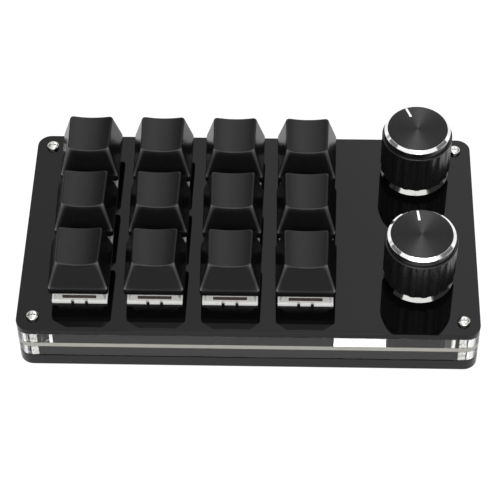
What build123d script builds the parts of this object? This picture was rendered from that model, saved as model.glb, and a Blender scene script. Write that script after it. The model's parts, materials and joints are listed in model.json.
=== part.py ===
from build123d import *
import os
from math import atan2, degrees, hypot

# A desk keypad of twelve sprung keys and two push-and-turn knobs, on a stack of acrylic sheets.
# X runs to the right, Y to the rear and Z up. The origin is on the desk, under the middle of the case.

# Case sheets, which share one outline
case_width = 130.0
case_depth = 74.0
case_corner_radius = 4.0
top_plate_thickness = 1.8
board_thickness = 1.6
bottom_plate_thickness = 4.5
sheet_gap = 0.02  # film of air between sheets that are clamped and not glued
lower_spacer_wall = 5.0
lower_spacer_corner = 9.5
cut_overrun = 1.0

# Sides of round details that repeat or lie out of sight, kept few so that the model stays light
small_round_sides = 6
head_sides = 8
round_sides = 12
standoff_sides = 6
knob_sides = 36
dish_sides = 72

# Corner fasteners and feet
screw_inset = 4.7
screw_radius = 1.0
screw_clearance = 0.1
screw_head_radius = 1.75
screw_head_height = 1.2
screw_head_bevel = 0.35
screw_grip = 3.8
standoff_radius = 1.9
standoff_clearance = 0.1
thread_clearance = 0.02
counterbore_clearance = 0.35
counterbore_spare = 0.4
foot_radius = 4.0
foot_taper = 0.4
foot_height = 1.5
foot_inset = 11.0

# Layout, in shares of the case's width from its left edge and of its depth from its rear edge
key_columns = 4
key_rows = 3
first_column_share = 0.1346
column_pitch_share = 0.1631
knob_column_share = 0.87
first_row_share = 0.1905
row_pitch_share = 0.2865
rear_knob_share = 0.177
front_knob_share = 0.7176

# Switch housings
plate_hole_width = 14.0
switch_fit = 0.05
switch_depth = 5.0
switch_board_gap = 0.74
flange_width = 15.6
flange_height = 1.0
housing_wall = 1.15
housing_floor = 1.0
housing_height = 6.6
housing_roof = 1.0
upper_inset = 0.5
upper_top_width = 10.6
upper_top_depth = 11.4
upper_wall = 1.1
light_slot_width = 9.5
light_slot_height = 1.0
light_slot_lift = 0.5
clip_width = 3.0
clip_gap = 0.85
clip_reach = 0.9
post_radius = 2.0
post_length = 3.3
post_clearance = 0.05
ring_wall = 0.5
ring_height = 2.0
block_margin = 8.2  # from the outer key centres to the edge of the spacer's window
window_radius = 2.0

# Stem and spring
key_travel = 4.0
slider_width = 6.4
slider_depth = 6.0
slider_height = 5.3
slider_clearance = 0.15
shoulder_width = 8.8
shoulder_depth = 4.0
stop_gap = 0.15
pole_radius = 1.3
pole_clearance = 0.05
pole_engagement = 0.9
pole_end_gap = 0.4
spring_wire = 0.25
spring_clearance = 0.1
spring_bore_clearance = 0.2
spring_bore_roof = 2.1
spring_seat_gap = 0.05
cross_length = 4.0
cross_wide_arm = 1.3
cross_narrow_arm = 1.1
cross_height = 3.6
cross_clearance = 0.03

# Contacts and sockets
contact_a_x = -3.81
contact_a_y = 2.54
contact_b_x = 2.54
contact_b_y = 5.08
contact_width = 1.0
contact_thickness = 0.3
pin_clearance = 0.03
board_slot_clearance = 0.15
leaf_height = 4.6
socket_half_width = 1.7
socket_half_depth = 1.6
socket_height = 1.85

# Keycap
cap_base = 17.1
cap_plan_share = 0.02  # how much the sides part towards the rear
cap_skirt_edge = 0.6
cap_top_edge = 0.9
cap_skirt_drop = 1.15
cap_skirt_height = 1.8
cap_front_height = 9.55
cap_rear_height = 9.05
cap_front_inset = 3.5
cap_rear_inset = 0.35
cap_side_inset = 2.87
cap_wall = 1.0
cap_roof = 1.2
dish_depth = 0.75
dish_spill = 0.3
boss_radius = 2.8

# Encoders
push_travel = 0.5
encoder_width = 12.4
encoder_depth = 11.4
encoder_floor = 0.8
encoder_ledge = 0.6
encoder_hole_clearance = 0.4
encoder_window_margin = 0.7
bracket_thickness = 0.6
bracket_leg_thickness = 0.5
bracket_leg_width = 6.0
bushing_radius = 3.5
bushing_height = 7.0
rotor_radius = 4.8
rotor_thickness = 1.35
rotor_clearance = 0.05
rotor_side_clearance = 0.1
end_pocket_radius = 3.0
shaft_radius = 3.0
shaft_clearance = 0.05
shaft_flat = 1.5
shaft_flat_lead = 0.6
shaft_collar_radius = 3.7
shaft_collar_thickness = 0.5
shaft_drive_width = 3.2
shaft_gap = 0.1
dome_gap = 0.2

# Knobs
knob_gap = 0.2
knob_height = 18.25
knob_body_radius = 10.2
knob_collar_radius = 8.2
knob_collar_height = 2.2
knob_neck_radius = 9.6
knob_neck_height = 1.95
knob_disc_radius = 8.7
knob_chamfer_height = 0.75
knob_roof = 2.9
knob_recess_radius = 7.4
knob_bushing_clearance = 0.64
core_radius = 4.6
core_clearance = 0.02
core_bore_clearance = 0.03
flute_count = 18
flute_radius = 2.6
flute_depth = 0.35
flute_margin = 0.55
pointer_width = 0.6
pointer_length = 3.5
pointer_depth = 0.2
pointer_margin = 0.2
rear_pointer_angle = 21.5
front_pointer_angle = 6.7

# Cable socket and controller, under the board
usb_width = 8.94
usb_height = 3.2
usb_depth = 7.3
usb_shell = 0.3
usb_back = 0.8
usb_recess = 0.2
usb_tongue_width = 6.7
usb_tongue_thickness = 0.7
usb_tongue_length = 4.45
usb_side_clearance = 0.25
lower_spacer_room = 0.7
chip_width = 7.0
chip_height = 1.4
chip_setback = 29.0

# Heights above the desk
upper_spacer_thickness = switch_depth + switch_board_gap - top_plate_thickness - 2 * sheet_gap
lower_spacer_thickness = usb_height + lower_spacer_room
bottom_plate_z = foot_height
lower_spacer_z = bottom_plate_z + bottom_plate_thickness + sheet_gap
board_z = lower_spacer_z + lower_spacer_thickness + sheet_gap
board_top_z = board_z + board_thickness
upper_spacer_z = board_top_z + sheet_gap
top_plate_z = upper_spacer_z + upper_spacer_thickness + sheet_gap
plate_top_z = top_plate_z + top_plate_thickness

# Places on the plan
column_shares = [first_column_share + column_pitch_share * i for i in range(key_columns)]
row_shares = [first_row_share + row_pitch_share * i for i in range(key_rows)]
column_x = [case_width * share - case_width / 2 for share in column_shares]
row_y = [case_depth / 2 - case_depth * share for share in row_shares]
key_spots = [(x, y) for y in row_y for x in column_x]
knob_x = case_width * knob_column_share - case_width / 2
rear_knob_y = case_depth / 2 - case_depth * rear_knob_share
front_knob_y = case_depth / 2 - case_depth * front_knob_share
knob_spots = {"rear": (knob_x, rear_knob_y), "front": (knob_x, front_knob_y)}
knob_angles = {"rear": rear_pointer_angle, "front": front_pointer_angle}
screw_x = case_width / 2 - screw_inset
screw_y = case_depth / 2 - screw_inset
screw_spots = [(x, y) for x in (-screw_x, screw_x) for y in (-screw_y, screw_y)]
foot_x = case_width / 2 - foot_inset
foot_y = case_depth / 2 - foot_inset
foot_spots = [(x, y) for x in (-foot_x, foot_x) for y in (-foot_y, foot_y)]
usb_x = (column_x[-1] + knob_x) / 2

# Heights in a switch, from the plate's upper face
floor_z = housing_floor - switch_depth
post_end_z = -switch_depth - post_length
ring_top_z = floor_z + ring_height
pole_end_z = ring_top_z - pole_engagement
well_floor_z = pole_end_z - key_travel - pole_end_gap
well_radius = pole_radius + pole_clearance
ring_radius = well_radius + ring_wall
slider_base_z = housing_height - slider_height
spring_inner_radius = ring_radius + spring_clearance
spring_outer_radius = spring_inner_radius + spring_wire
spring_bore_radius = spring_outer_radius + spring_bore_clearance
spring_bore_top_z = housing_height - spring_bore_roof

# Heights in an encoder and a knob, from the plate's upper face
encoder_base_z = board_top_z - plate_top_z
pocket_floor_z = encoder_base_z + encoder_floor
ledge_z = pocket_floor_z + encoder_ledge
rotor_z = ledge_z + rotor_clearance
rotor_top_z = rotor_z + rotor_thickness
shaft_end_z = pocket_floor_z + push_travel + dome_gap
shaft_collar_z = rotor_top_z + push_travel + shaft_gap
shaft_collar_top_z = shaft_collar_z + shaft_collar_thickness
bracket_z = shaft_collar_top_z + shaft_gap
encoder_top_z = bracket_z + bracket_thickness
bushing_top_z = encoder_top_z + bushing_height
core_base_z = bushing_top_z + push_travel + knob_bushing_clearance
knob_foot_z = push_travel + knob_gap
knob_top_z = knob_foot_z + knob_height
knob_body_z = knob_foot_z + knob_collar_height
knob_neck_top_z = knob_top_z - knob_chamfer_height
knob_step_z = knob_neck_top_z - knob_neck_height
core_top_z = knob_top_z - knob_roof


def block(width, depth, low, high):
    """A square-cornered block about the Z axis, between two heights."""
    return Pos(0, 0, low) * extrude(Rectangle(width, depth), high - low)


def rod(radius, sides, low, high):
    """A rod about the Z axis whose corners lie on the radius."""
    return Pos(0, 0, low) * extrude(RegularPolygon(radius, sides), high - low)


def bore(radius, sides, low, high):
    """A cutter about the Z axis whose flats lie on the radius, so that a rod of that radius turns in it."""
    return Pos(0, 0, low) * extrude(RegularPolygon(radius, sides, major_radius=False), high - low)


def hole(radius, sides):
    """The outline of a drilled hole that a rod of that radius passes."""
    return RegularPolygon(radius, sides, major_radius=False)


def crossed(front_outline, side_outline, reach):
    """The block that shows one outline from the front and the other from the side."""
    front = extrude(Plane.XZ * make_face(Polyline(*front_outline, close=True)), reach, both=True)
    side = extrude(Plane.YZ * make_face(Polyline(*side_outline, close=True)), reach, both=True)
    return front & side


def at_spots(shape, spots):
    """Copies of a shape at places on the plan."""
    return [Pos(x, y) * shape for x, y in spots]


def group(shapes):
    """One compound of the separate solids of several shapes."""
    return Compound([solid for shape in shapes for solid in shape.solids()])


def on_plate(shape, spot):
    """A switch or knob piece moved from its own frame to its place on the plate."""
    return Pos(spot[0], spot[1], plate_top_z) * shape


# Case
def sheet(thickness, low, cuts):
    """One sheet of the stack, with its cut-outs."""
    outline = RectangleRounded(case_width, case_depth, case_corner_radius) - cuts
    return Pos(0, 0, low) * extrude(outline, thickness)


def make_top_plate():
    key_holes = at_spots(Rectangle(plate_hole_width, plate_hole_width), key_spots)
    encoder_hole = Rectangle(
        encoder_width + 2 * encoder_hole_clearance,
        encoder_depth + 2 * encoder_hole_clearance,
    )
    encoder_holes = at_spots(encoder_hole, knob_spots.values())
    screw_holes = at_spots(hole(screw_radius + screw_clearance, small_round_sides), screw_spots)
    return sheet(top_plate_thickness, top_plate_z, key_holes + encoder_holes + screw_holes)


def standoff_holes():
    outline = RegularPolygon(standoff_radius + standoff_clearance, standoff_sides)
    return at_spots(outline, screw_spots)


def make_upper_spacer():
    window_width = column_x[-1] - column_x[0] + 2 * block_margin
    window_depth = row_y[0] - row_y[-1] + 2 * block_margin
    window = RectangleRounded(window_width, window_depth, window_radius)
    window_at = Pos((column_x[0] + column_x[-1]) / 2, (row_y[0] + row_y[-1]) / 2)
    encoder_window = Rectangle(
        encoder_width + 2 * encoder_window_margin,
        encoder_depth + 2 * encoder_window_margin,
    )
    encoder_windows = at_spots(encoder_window, knob_spots.values())
    cuts = [window_at * window] + encoder_windows + standoff_holes()
    return sheet(upper_spacer_thickness, upper_spacer_z, cuts)


def make_board():
    post_holes = at_spots(hole(post_radius + post_clearance, small_round_sides), key_spots)
    pin_slot = Rectangle(
        contact_width + 2 * board_slot_clearance,
        contact_thickness + 2 * board_slot_clearance,
    )
    pins = [(contact_a_x, contact_a_y), (contact_b_x, contact_b_y)]
    pin_slots = [
        Pos(x + pin_x, y + pin_y) * pin_slot for x, y in key_spots for pin_x, pin_y in pins
    ]
    return sheet(board_thickness, board_z, post_holes + pin_slots + standoff_holes())


def make_lower_spacer():
    wide = Rectangle(case_width - 2 * lower_spacer_wall, case_depth - 2 * lower_spacer_corner)
    deep = Rectangle(case_width - 2 * lower_spacer_corner, case_depth - 2 * lower_spacer_wall)
    notch_depth = lower_spacer_wall + 2 * cut_overrun
    notch = Rectangle(usb_width + 2 * usb_side_clearance, notch_depth)
    notch_at = Pos(usb_x, case_depth / 2 + cut_overrun - notch_depth / 2)
    cuts = [wide + deep, notch_at * notch] + standoff_holes()
    return sheet(lower_spacer_thickness, lower_spacer_z, cuts)


def make_bottom_plate():
    screw_holes = at_spots(hole(screw_radius + screw_clearance, small_round_sides), screw_spots)
    plate = sheet(bottom_plate_thickness, bottom_plate_z, screw_holes)
    counterbore = bore(
        screw_head_radius + counterbore_clearance,
        head_sides,
        bottom_plate_z - cut_overrun,
        bottom_plate_z + screw_head_height + counterbore_spare,
    )
    return plate - at_spots(counterbore, screw_spots)


def make_standoffs():
    post = rod(standoff_radius, standoff_sides, lower_spacer_z - sheet_gap, top_plate_z)
    thread = bore(screw_radius + thread_clearance, small_round_sides, bottom_plate_z, plate_top_z)
    return group(at_spots(post - thread, screw_spots))


def screw(shank_length):
    """A pan-head screw, its head standing on Z = 0 and its shank below."""
    head = rod(screw_head_radius, head_sides, 0, screw_head_height)
    head = chamfer(head.edges().group_by(Axis.Z)[-1], screw_head_bevel)
    return head + rod(screw_radius, small_round_sides, -shank_length, 0)


def make_case_screws():
    upper = screw(top_plate_thickness + screw_grip)
    head_z = bottom_plate_z + counterbore_spare + screw_head_height
    lower = screw(lower_spacer_z - head_z + screw_grip)
    uppers = [Pos(x, y, plate_top_z) * upper for x, y in screw_spots]
    lowers = [Pos(x, y, head_z) * Rot(180, 0, 0) * lower for x, y in screw_spots]
    return group(uppers + lowers)


def make_rubber_feet():
    lean = degrees(atan2(foot_taper, foot_height))
    foot = Pos(0, 0, foot_height) * extrude(
        RegularPolygon(foot_radius, head_sides), foot_height, dir=(0, 0, -1), taper=lean
    )
    return group(at_spots(foot, foot_spots))


# Key switches, in a frame whose Z = 0 is the plate's upper face
def make_lower_housing():
    flange = block(flange_width, flange_width, 0, flange_height)
    body_width = plate_hole_width - 2 * switch_fit
    body = block(body_width, body_width, -switch_depth, 0)
    cavity_width = body_width - 2 * housing_wall
    cavity = block(cavity_width, cavity_width, floor_z, flange_height + cut_overrun)
    post = rod(post_radius, small_round_sides, post_end_z, floor_z)
    ring = rod(ring_radius, small_round_sides, floor_z, ring_top_z)
    well = rod(well_radius, small_round_sides, well_floor_z, ring_top_z)
    slot = block(
        contact_width + 2 * pin_clearance,
        contact_thickness + 2 * pin_clearance,
        -switch_depth - cut_overrun,
        floor_z + cut_overrun,
    )
    slots = [Pos(contact_a_x, contact_a_y) * slot, Pos(contact_b_x, contact_b_y) * slot]
    notch = block(clip_gap, clip_reach, 0, flange_height + cut_overrun)
    notch_x = (clip_width + clip_gap) / 2
    notch_y = (clip_reach - flange_width) / 2
    notches = [Pos(x, notch_y) * notch for x in (-notch_x, notch_x)]
    return flange + body - cavity + post + ring - well - slots - notches


def tapered_outline(base_width, base_z, top_width, top_z):
    """One view of a block that narrows from its base to its top."""
    return [
        (-base_width / 2, base_z),
        (base_width / 2, base_z),
        (top_width / 2, top_z),
        (-top_width / 2, top_z),
    ]


def make_upper_housing():
    base_width = flange_width - 2 * upper_inset
    shell = crossed(
        tapered_outline(base_width, flange_height, upper_top_width, housing_height),
        tapered_outline(base_width, flange_height, upper_top_depth, housing_height),
        base_width,
    )
    roof_z = housing_height - housing_roof
    rise_share = (roof_z - flange_height) / (housing_height - flange_height)
    roof_width = base_width + (upper_top_width - base_width) * rise_share
    roof_depth = base_width + (upper_top_depth - base_width) * rise_share
    inner_width = base_width - 2 * upper_wall
    hollow = crossed(
        tapered_outline(inner_width, flange_height, roof_width - 2 * upper_wall, roof_z),
        tapered_outline(inner_width, flange_height, roof_depth - 2 * upper_wall, roof_z),
        base_width,
    )
    opening = block(
        slider_width + 2 * slider_clearance,
        slider_depth + 2 * slider_clearance,
        flange_height,
        housing_height + cut_overrun,
    )
    slot_base = flange_height + light_slot_lift
    slot = block(light_slot_width, base_width / 2, slot_base, slot_base + light_slot_height)
    return shell - hollow - opening - Pos(0, -base_width / 2) * slot


def make_stem():
    slider = block(slider_width, slider_depth, slider_base_z, housing_height)
    stop_z = housing_height - housing_roof - stop_gap
    shoulders = block(shoulder_width, shoulder_depth, slider_base_z, stop_z)
    pocket_base_z = slider_base_z - cut_overrun
    pocket_width = 2 * spring_bore_radius
    pocket = block(pocket_width, pocket_width, pocket_base_z, spring_bore_top_z)
    pole = rod(pole_radius, small_round_sides, pole_end_z, spring_bore_top_z)
    cross_top = housing_height + cross_height
    wide_arm = block(cross_length, cross_wide_arm, housing_height, cross_top)
    narrow_arm = block(cross_narrow_arm, cross_length, housing_height, cross_top)
    return slider + shoulders - pocket + pole + wide_arm + narrow_arm


def make_spring():
    top = spring_bore_top_z - spring_seat_gap
    sleeve = rod(spring_outer_radius, small_round_sides, floor_z, top)
    return sleeve - rod(spring_inner_radius, small_round_sides, floor_z, top)


def make_contacts():
    blade = block(contact_width, contact_thickness, post_end_z, floor_z + leaf_height)
    return at_spots(blade, [(contact_a_x, contact_a_y), (contact_b_x, contact_b_y)])


def make_socket():
    """A hot-swap socket under the board, in a frame whose Z = 0 is the board's lower face."""
    depth = 2 * socket_half_depth
    bar_length = contact_b_x - contact_a_x + 2 * socket_half_width
    pad = Pos(contact_a_x, contact_a_y) * block(2 * socket_half_width, depth, -socket_height, 0)
    bar_at = Pos((contact_a_x + contact_b_x) / 2, contact_b_y)
    bar = bar_at * block(bar_length, depth, -socket_height, 0)
    pin_slot = block(
        contact_width + 2 * pin_clearance,
        contact_thickness + 2 * pin_clearance,
        -socket_height - cut_overrun,
        cut_overrun,
    )
    pins = [(contact_a_x, contact_a_y), (contact_b_x, contact_b_y)]
    return pad + bar - at_spots(pin_slot, pins)


# Keycap, in the same frame as its switch
def trimmed(shape, point, outward):
    """A shape cut back to the plane through a point, square to an outward direction."""
    return split(shape, bisect_by=Plane(point, z_dir=outward), keep=Keep.BOTTOM)


def bevelled(shape, low, high):
    """A shape cut back at one corner, by the plane that leans from a low point to a high one."""
    outward = Vector(low.X, low.Y, 0)
    normal = outward.cross(Vector(0, 0, 1)).cross(high - low)
    if normal.dot(outward) < 0:
        normal = -normal
    return trimmed(shape, low, normal)


def make_keycap():
    half = cap_base / 2
    foot_z = housing_height - cap_skirt_drop
    skirt_z = foot_z + cap_skirt_height
    front_y = cap_front_inset - half
    rear_y = half - cap_rear_inset
    front_z = foot_z + cap_front_height
    rear_z = foot_z + cap_rear_height
    middle_z = (front_z + rear_z) / 2
    side_lean_share = cap_side_inset / (middle_z - skirt_z)
    profile = Polyline(
        (-half, foot_z),
        (half, foot_z),
        (half, skirt_z),
        (rear_y, rear_z),
        (front_y, front_z),
        (-half, skirt_z),
        close=True,
    )
    outer = extrude(Plane.YZ * make_face(profile), cap_base, both=True)
    for side in (-1, 1):
        edge = Vector(side * half, 0, skirt_z)
        outer = trimmed(outer, edge, Vector(side, -cap_plan_share, 0))
        outer = trimmed(outer, edge, Vector(side, -cap_plan_share, side_lean_share))
        for end, top_y, top_z in ((-1, front_y, front_z), (1, rear_y, rear_z)):
            base_half = half + cap_plan_share * half * end
            top_half = half + cap_plan_share * top_y - side_lean_share * (top_z - skirt_z)
            low = Vector(side * (base_half - cap_skirt_edge / 2), end * (half - cap_skirt_edge / 2), skirt_z)
            high = Vector(side * (top_half - cap_top_edge / 2), top_y - end * cap_top_edge / 2, top_z)
            outer = trimmed(outer, low, Vector(side, end, 0))
            outer = bevelled(outer, low, high)

    top_length = hypot(rear_y - front_y, rear_z - front_z)
    tilt = degrees(atan2(rear_z - front_z, rear_y - front_y))
    half_chord = half - cap_side_inset + dish_spill
    dish_radius = (half_chord**2 + dish_depth**2) / (2 * dish_depth)
    dish_at = Pos(0, (front_y + rear_y) / 2, middle_z) * Rot(tilt, 0, 0)
    dish_at = dish_at * Pos(0, 0, dish_radius - dish_depth) * Rot(90, 0, 0)
    dish = dish_at * rod(dish_radius, dish_sides, -top_length, top_length)

    inner_half = half - cap_plan_share * half - cap_wall
    ceiling_z = rear_z - dish_depth - cap_roof
    rise = ceiling_z - skirt_z
    ceiling_half = inner_half - side_lean_share * rise
    ceiling_front = cap_front_inset * rise / (front_z - skirt_z) - inner_half
    ceiling_rear = inner_half - cap_rear_inset * rise / (rear_z - skirt_z)
    hollow = crossed(
        [
            (-inner_half, foot_z),
            (inner_half, foot_z),
            (inner_half, skirt_z),
            (ceiling_half, ceiling_z),
            (-ceiling_half, ceiling_z),
            (-inner_half, skirt_z),
        ],
        [
            (-inner_half, foot_z),
            (inner_half, foot_z),
            (inner_half, skirt_z),
            (ceiling_rear, ceiling_z),
            (ceiling_front, ceiling_z),
            (-inner_half, skirt_z),
        ],
        cap_base,
    )

    boss = rod(boss_radius, small_round_sides, housing_height, ceiling_z + cap_roof / 2)
    socket_top = housing_height + cross_height + cross_clearance
    length = cross_length + 2 * cross_clearance
    wide = block(length, cross_wide_arm + 2 * cross_clearance, housing_height, socket_top)
    narrow = block(cross_narrow_arm + 2 * cross_clearance, length, housing_height, socket_top)
    return outer - dish - hollow + boss - wide - narrow


# Encoders and knobs, in a frame whose Z = 0 is the plate's upper face
def make_encoder_base():
    width = encoder_width - 2 * bracket_leg_thickness
    body = block(width, encoder_depth, encoder_base_z, bracket_z)
    chamber_radius = rotor_radius + rotor_side_clearance
    chamber = bore(chamber_radius, round_sides, ledge_z, bracket_z + cut_overrun)
    pocket = bore(end_pocket_radius, round_sides, pocket_floor_z, ledge_z + cut_overrun)
    return body - chamber - pocket


def make_encoder_bracket():
    roof = block(encoder_width, encoder_depth, bracket_z, encoder_top_z)
    leg = block(bracket_leg_thickness, bracket_leg_width, encoder_base_z, bracket_z)
    leg_x = (encoder_width - bracket_leg_thickness) / 2
    legs = [Pos(x, 0) * leg for x in (-leg_x, leg_x)]
    bushing = rod(bushing_radius, round_sides, encoder_top_z, bushing_top_z)
    journal = bore(shaft_radius + shaft_clearance, round_sides, bracket_z, bushing_top_z)
    return roof + legs + bushing - journal


def make_rotor():
    drive_width = shaft_drive_width + 2 * shaft_clearance
    drive = block(drive_width, drive_width, rotor_z - cut_overrun, rotor_top_z + cut_overrun)
    return rod(rotor_radius, round_sides, rotor_z, rotor_top_z) - drive


def flatted_rod(radius, flat, low, high):
    """A rod with one flat along it, on its +Y side."""
    waste = Pos(0, flat + radius) * block(2 * radius, 2 * radius, low, high)
    return rod(radius, round_sides, low, high) - waste


def make_shaft():
    flat_z = core_base_z - shaft_flat_lead
    top_z = core_top_z - shaft_gap
    drive = block(shaft_drive_width, shaft_drive_width, shaft_end_z, shaft_collar_z)
    collar = rod(shaft_collar_radius, round_sides, shaft_collar_z, shaft_collar_top_z)
    journal = rod(shaft_radius, round_sides, shaft_collar_top_z, flat_z)
    return drive + collar + journal + flatted_rod(shaft_radius, shaft_flat, flat_z, top_z)


def make_core():
    body = rod(core_radius - core_clearance, round_sides, core_base_z, core_top_z)
    bore_radius = shaft_radius + core_bore_clearance
    bore_flat = shaft_flat + core_bore_clearance
    return body - flatted_rod(bore_radius, bore_flat, core_base_z, core_top_z - shaft_gap)


def make_knob_shell():
    flare = degrees(atan2(knob_body_radius - knob_collar_radius, knob_collar_height))
    foot_outline = RegularPolygon(knob_body_radius, knob_sides)
    collar = Pos(0, 0, knob_foot_z) * extrude(foot_outline, knob_collar_height, taper=flare)
    body = rod(knob_body_radius, knob_sides, knob_body_z, knob_step_z)
    flute_at = knob_body_radius + flute_radius - flute_depth
    flute = rod(flute_radius, round_sides, knob_body_z, knob_step_z - flute_margin)
    flutes = [Rot(0, 0, 360 / flute_count * i) * Pos(flute_at, 0) * flute for i in range(flute_count)]
    neck = rod(knob_neck_radius, knob_sides, knob_step_z, knob_top_z)
    chamfer_width = knob_neck_radius - knob_disc_radius
    neck = chamfer(neck.edges().group_by(Axis.Z)[-1], knob_chamfer_height, chamfer_width)
    recess = rod(knob_recess_radius, round_sides, knob_foot_z, core_base_z)
    core_bore = rod(core_radius, round_sides, core_base_z, core_top_z)
    groove_y = knob_disc_radius - pointer_margin - pointer_length / 2
    groove = block(pointer_width, pointer_length, knob_top_z - pointer_depth, knob_top_z + cut_overrun)
    return collar + (body - flutes) + neck - recess - core_bore - Pos(0, groove_y) * groove


# Cable socket and controller
def make_usb_socket():
    mouth_y = case_depth / 2 - usb_recess
    axis_z = board_z - usb_height / 2
    mouth = Plane((usb_x, mouth_y, axis_z), x_dir=(1, 0, 0), z_dir=(0, -1, 0))
    shell = extrude(SlotOverall(usb_width, usb_height), usb_depth)
    bore = SlotOverall(usb_width - 2 * usb_shell, usb_height - 2 * usb_shell)
    cavity = extrude(bore, usb_depth - usb_back)
    tongue_at = usb_depth - usb_back - usb_tongue_length
    tongue = block(usb_tongue_width, usb_tongue_thickness, tongue_at, usb_depth - usb_back)
    return mouth * (shell - cavity + tongue)


def make_chip():
    chip_y = case_depth / 2 - chip_setback
    return Pos(usb_x, chip_y) * block(chip_width, chip_width, board_z - chip_height, board_z)


def key_name(piece, index):
    """A node's name by its row from the rear and its column from the left."""
    row, column = divmod(index, key_columns)
    return f"{piece}_r{row + 1}_c{column + 1}"


def save(name, shape):
    export_step(shape, os.path.join("parts", name + ".step"))


os.makedirs("parts", exist_ok=True)

save("top_plate", make_top_plate())
save("upper_spacer", make_upper_spacer())
save("circuit_board", make_board())
save("lower_spacer", make_lower_spacer())
save("bottom_plate", make_bottom_plate())
save("case_standoffs", make_standoffs())
save("case_screws", make_case_screws())
save("rubber_feet", make_rubber_feet())
save("usb_socket", make_usb_socket())
save("controller_chip", make_chip())

lower_housing = make_lower_housing()
upper_housing = make_upper_housing()
contacts = make_contacts()
socket = Pos(0, 0, board_z - plate_top_z) * make_socket()
save("switch_lower_housings", group([on_plate(lower_housing, spot) for spot in key_spots]))
save("switch_upper_housings", group([on_plate(upper_housing, spot) for spot in key_spots]))
save("switch_contacts", group([on_plate(leaf, spot) for spot in key_spots for leaf in contacts]))
save("hotswap_sockets", group([on_plate(socket, spot) for spot in key_spots]))

keycap = make_keycap()
stem = make_stem()
spring = make_spring()
for index, spot in enumerate(key_spots):
    save(key_name("keycap", index), on_plate(keycap, spot))
    save(key_name("stem", index), on_plate(stem, spot))
    save(key_name("spring", index), on_plate(spring, spot))

encoder_base = make_encoder_base()
encoder_bracket = make_encoder_bracket()
save("encoder_bases", group([on_plate(encoder_base, spot) for spot in knob_spots.values()]))
save("encoder_brackets", group([on_plate(encoder_bracket, spot) for spot in knob_spots.values()]))

rotor = make_rotor()
shaft = make_shaft()
core = make_core()
knob_shell = make_knob_shell()
for side, spot in knob_spots.items():
    turn = Rot(0, 0, knob_angles[side])
    save(side + "_encoder_rotor", on_plate(turn * rotor, spot))
    save(side + "_encoder_shaft", on_plate(turn * shaft, spot))
    save(side + "_knob_core", on_plate(turn * core, spot))
    save(side + "_knob_shell", on_plate(turn * knob_shell, spot))
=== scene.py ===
"""One-handed keypad: finishes and fine shapes over its CAD frame, with the floor, lights and camera."""

import json
import math

import bmesh
import bpy
from mathutils import Matrix, Vector

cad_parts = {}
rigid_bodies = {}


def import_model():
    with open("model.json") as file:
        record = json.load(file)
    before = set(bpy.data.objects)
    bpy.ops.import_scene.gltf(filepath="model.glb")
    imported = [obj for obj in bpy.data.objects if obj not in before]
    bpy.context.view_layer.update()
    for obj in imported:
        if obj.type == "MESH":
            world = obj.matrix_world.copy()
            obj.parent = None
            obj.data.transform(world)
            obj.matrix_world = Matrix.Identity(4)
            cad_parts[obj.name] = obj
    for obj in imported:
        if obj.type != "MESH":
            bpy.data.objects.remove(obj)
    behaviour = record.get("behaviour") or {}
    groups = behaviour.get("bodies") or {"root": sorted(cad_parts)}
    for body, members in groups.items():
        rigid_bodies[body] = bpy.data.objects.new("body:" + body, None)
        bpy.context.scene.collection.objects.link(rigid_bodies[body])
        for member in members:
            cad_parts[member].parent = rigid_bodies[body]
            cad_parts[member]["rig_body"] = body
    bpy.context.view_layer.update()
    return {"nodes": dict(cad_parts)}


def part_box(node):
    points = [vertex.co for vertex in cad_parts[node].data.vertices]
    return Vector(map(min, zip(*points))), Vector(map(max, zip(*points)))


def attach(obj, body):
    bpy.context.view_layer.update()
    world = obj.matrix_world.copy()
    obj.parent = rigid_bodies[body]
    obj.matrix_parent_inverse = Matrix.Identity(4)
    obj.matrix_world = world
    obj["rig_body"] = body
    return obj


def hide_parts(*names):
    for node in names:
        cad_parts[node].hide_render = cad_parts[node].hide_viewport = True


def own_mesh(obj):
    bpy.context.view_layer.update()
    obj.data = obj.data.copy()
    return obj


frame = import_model()
nodes = frame["nodes"]
scene = bpy.context.scene

# Sizes are in millimetres, and heights count from the plate's upper face, unless a comment says otherwise
MM = 0.001
# The height of that face over the floor
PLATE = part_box("top_plate")[1].z / MM
CASE_HALF_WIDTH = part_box("top_plate")[1].x / MM
CASE_HALF_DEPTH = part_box("top_plate")[1].y / MM
CASE_CORNER = 4.0
KEYS = [f"r{row}_c{column}" for row in (1, 2, 3) for column in (1, 2, 3, 4)]


def middle(node):
    """The middle of a node on the plan."""
    low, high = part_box(node)
    return (low.x + high.x) / 2 / MM, (low.y + high.y) / 2 / MM


def four_corners(inset):
    """The places on the plan near the case's four corners, at one inset from both sides."""
    x, y = CASE_HALF_WIDTH - inset, CASE_HALF_DEPTH - inset
    return [(-x, -y), (-x, y), (x, -y), (x, y)]


KEY_SPOTS = [middle("stem_" + key) for key in KEYS]
SCREW_SPOTS = four_corners(inset=4.7)
FOOT_SPOTS = four_corners(inset=11.0)

# Materials: most values of a noise lie between these two
NOISE_LOW, NOISE_HIGH = 0.3, 0.7
BUMP_DEPTH = 0.1 * MM


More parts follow.
